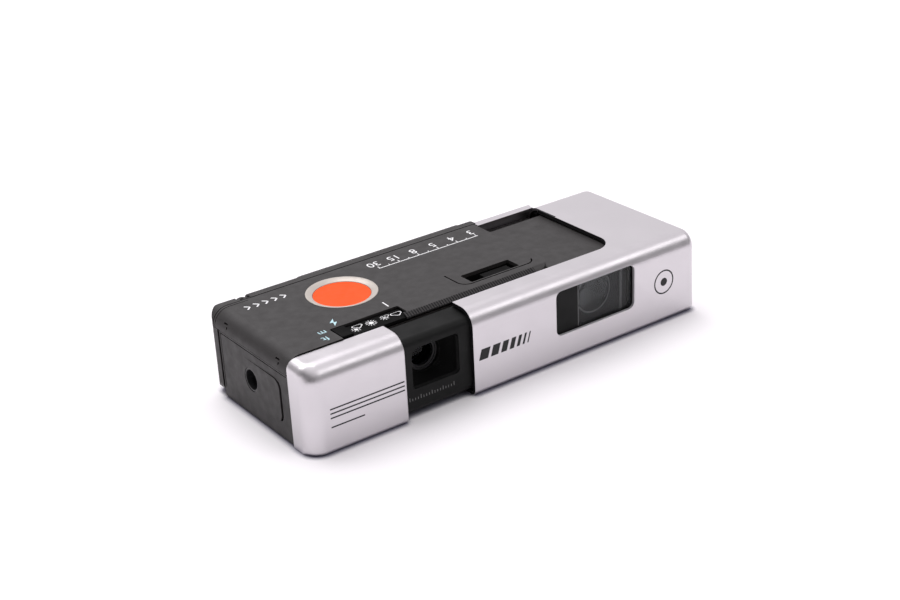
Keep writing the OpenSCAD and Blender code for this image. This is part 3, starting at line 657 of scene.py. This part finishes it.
def top_marks():
    """Index line, pointer row and distance scale on the top cover."""
    piece = Piece()
    bar(piece, (41.2, 19.4), (41.4, 22.9), 0.42)
    for i in range(5):
        x = 9.2 + 3.1 * i
        bar(piece, (x - 0.7, 45.7), (x + 0.7, 47.0), 0.5)
        bar(piece, (x - 0.7, 48.3), (x + 0.7, 47.0), 0.5)
    scale_x, scale_y = 55.0, 44.2
    tick = 3.8
    for i in range(11):
        x = scale_x + tick * i
        bar(piece, (x, scale_y), (x, 45.1 if i % 2 else 45.6), 0.32)
    bar(piece, (54.6, scale_y), (93.4, scale_y), 0.36)
    piece.finish("top_marks", "camera_body", "black_body", WHITE_INK)
    for i, text in enumerate(("30", "15", "8", "5", "4", "3")):
        words("distance_" + text, text, scale_x + 2 * tick * i, 48.1, 4.6, WHITE_INK)
    words("unit_metre", "m", 17.0, 17.6, 3.6, BLUE_INK)
    words("unit_feet", "ft", 15.6, 13.8, 3.6, BLUE_INK)


def flash_bolt():
    """Lightning bolt beside the weather slider."""
    shape = [(-0.9, -2.3), (1.1, -0.2), (0.1, 0.0), (1.2, 2.3), (-1.1, 0.3), (-0.1, 0.0)]
    piece = Piece()
    print_on(piece, [(23.0 + x, 21.2 + y) for x, y in shape], COVER_TOP)
    piece.finish("flash_bolt", "camera_body", "black_body", BLUE_INK)


def latch_arrow():
    """Arrow beside the latch that shows which way it opens the door."""
    piece = Piece()
    piece.prism(on_front([(57.4, 3.9), (57.4, 6.9), (54.8, 5.4)], BACK), (0, INK, 0))
    piece.finish("latch_arrow", "door", "black_body", WHITE_INK)


def ring_mark(piece, x, z, radius, line):
    """Printed ring on the silver front."""
    steps = 48
    outer = circle((x, z), radius, steps)
    inner = circle((x, z), radius - line, steps)
    for i in range(steps):
        j = (i + 1) % steps
        piece.prism(on_front([outer[i], outer[j], inner[j], inner[i]]), (0, -INK, 0))


def front_marks():
    """Plain printed marks on the sleeve, the front cap and the lens panel, and a grey strip painted as the
    highlight on the pane's left edge.
    """
    forwards = (0, -INK, 0)
    piece = Piece()
    slant = 1.1
    low, high = 11.4, 14.9
    x = 59.3
    for width in (3.4, 2.8, 2.2, 1.7, 1.2, 0.8, 0.5):
        slanted = [(x, low), (x + width, low), (x + width + slant, high), (x + slant, high)]
        piece.prism(on_front(slanted), forwards)
        x += width + 1.05
    ring_x, ring_z = 134.3, 14.2
    ring_mark(piece, ring_x, ring_z, 4.2, 0.5)
    piece.prism(on_front(circle((ring_x, ring_z), 1.4)), forwards)
    piece.finish("sleeve_marks", "sleeve", "silver_shell", BLACK_INK)

    piece = Piece()
    for low, end in ((13.9, 32.4), (12.5, 32.4), (11.1, 32.4), (8.2, 18.3)):
        piece.prism(on_front(box_on_front(7.0, low, end, low + 0.45)), forwards)
    piece.finish("cap_marks", "camera_body", "silver_shell", BLACK_INK)

    piece = Piece()
    for i in range(17):
        x = 34.6 + i
        high = 7.2 if i % 4 == 0 else 6.7
        piece.prism(on_front(box_on_front(x, 5.9, x + 0.22, high), PANEL_FRONT), forwards)
    # Painted highlight: a grey strip down the clear pane's left edge stands in for light on its bevel.
    painted_pane_highlight = box_on_front(PANE_X - 0.1, 9.6, PANE_X + 0.1, 23.9)
    piece.prism(on_front(painted_pane_highlight, PANEL_FRONT), forwards)
    piece.finish("panel_marks_and_highlight", "camera_body", "fascia", GREY_INK)


edge_serration()
sleeve_rims()
window_lip()
hood_lining()
finder_front_mask()
weather_marks()
top_marks()
flash_bolt()
latch_arrow()
front_marks()

# ---------- stage ----------


def make_floor():
    mesh = bpy.data.meshes.new("floor")
    size = 3.0
    mesh.from_pydata([(-size, -size, cad_low.z), (size, -size, cad_low.z), (size, size, cad_low.z),
                      (-size, size, cad_low.z)], [], [(0, 1, 2, 3)])
    floor = bpy.data.objects.new("floor", mesh)
    bpy.context.scene.collection.objects.link(floor)
    finish = Finish("floor_paper", (0.95, 0.93, 0.95), 0.8, Specular_IOR_Level=0.2)
    # Painted contact shadow: the paper is darkened and tinted lavender where it meets the object.
    contact_shadow = finish.crevice_shade(2.2)
    finish.tint(contact_shadow, (0.22, 0.21, 0.27))
    # A faint glow keeps the paper near white where the object shades it, but not where they meet
    finish.link(finish.ranged(contact_shadow, 0, 1, 0.06, 0), finish.shader.inputs["Emission Strength"])
    finish.bump(finish.noise(2, 2), 0.01, 0.2)
    mesh.materials.append(finish.material)


def area_light(name, direction, distance, width, height, glow, colour):
    """Soft box in a direction from the object's middle, which glows with a given radiance."""
    centre = (cad_low + cad_high) / 2
    direction = Vector(direction).normalized()
    data = bpy.data.lights.new(name, "AREA")
    data.shape = "RECTANGLE"
    data.size = width
    data.size_y = height
    data.energy = glow * math.pi * width * height
    data.color = colour
    light = bpy.data.objects.new(name, data)
    light.location = centre + direction * distance
    light.rotation_euler = direction.to_track_quat("Z", "Y").to_euler()
    bpy.context.scene.collection.objects.link(light)


def make_world():
    """White room that is bright behind the object and dim behind the photographer and to the left."""
    world = bpy.data.worlds.new("studio")
    world.use_nodes = True
    tree = world.node_tree
    background = tree.nodes["Background"]
    split = tree.nodes.new("ShaderNodeSeparateXYZ")
    tree.links.new(tree.nodes.new("ShaderNodeTexCoord").outputs["Generated"], split.inputs[0])

    def ranged(value, low, high, to_low, to_high):
        node = tree.nodes.new("ShaderNodeMapRange")
        node.interpolation_type = "SMOOTHSTEP"
        for socket, number in zip(RANGE_SOCKETS, (low, high, to_low, to_high)):
            node.inputs[socket].default_value = number
        tree.links.new(value, node.inputs["Value"])
        return node.outputs["Result"]

    def combined(operation, first, second):
        node = tree.nodes.new("ShaderNodeMath")
        node.operation = operation
        tree.links.new(first, node.inputs[0])
        tree.links.new(second, node.inputs[1])
        return node.outputs[0]

    depth = ranged(split.outputs["Y"], -0.55, 0.35, 0.36, 0.96)
    height = ranged(split.outputs["Z"], 0.35, 0.75, 0.0, 1.0)
    side = ranged(split.outputs["X"], -0.7, 0.1, 0.5, 1.0)
    strength = combined("MULTIPLY", combined("MAXIMUM", depth, height), side)
    tree.links.new(strength, background.inputs["Strength"])
    background.inputs["Color"].default_value = (1.0, 0.975, 1.0, 1.0)
    bpy.context.scene.world = world


def make_camera():
    azimuth = math.radians(CAMERA_AZIMUTH)
    elevation = math.radians(CAMERA_ELEVATION)
    back = Vector((math.sin(azimuth) * math.cos(elevation), -math.cos(azimuth) * math.cos(elevation),
                   math.sin(elevation)))
    right = Vector((0, 0, 1)).cross(back).normalized()
    turn = Matrix((right, back.cross(right), back)).transposed()
    data = bpy.data.cameras.new("camera")
    data.lens = CAMERA_LENS
    data.sensor_width = 36
    data.clip_start = 0.01
    camera = bpy.data.objects.new("camera", data)
    camera.matrix_world = (Matrix.Translation(CAMERA_PLACE) @ turn.to_4x4()
                           @ Matrix.Rotation(math.radians(CAMERA_ROLL), 4, "Z"))
    bpy.context.scene.collection.objects.link(camera)
    bpy.context.scene.camera = camera


make_floor()
make_world()
area_light("key", (0.52, -0.545, 0.657), 1.1, 0.9, 0.30, 1.5, (1.0, 0.995, 0.99))
area_light("overhead", (-0.1, 0.45, 0.9), 1.2, 1.1, 1.0, 2.75, (1.0, 0.985, 1.0))
make_camera()
bpy.context.scene.view_settings.view_transform = "Standard"
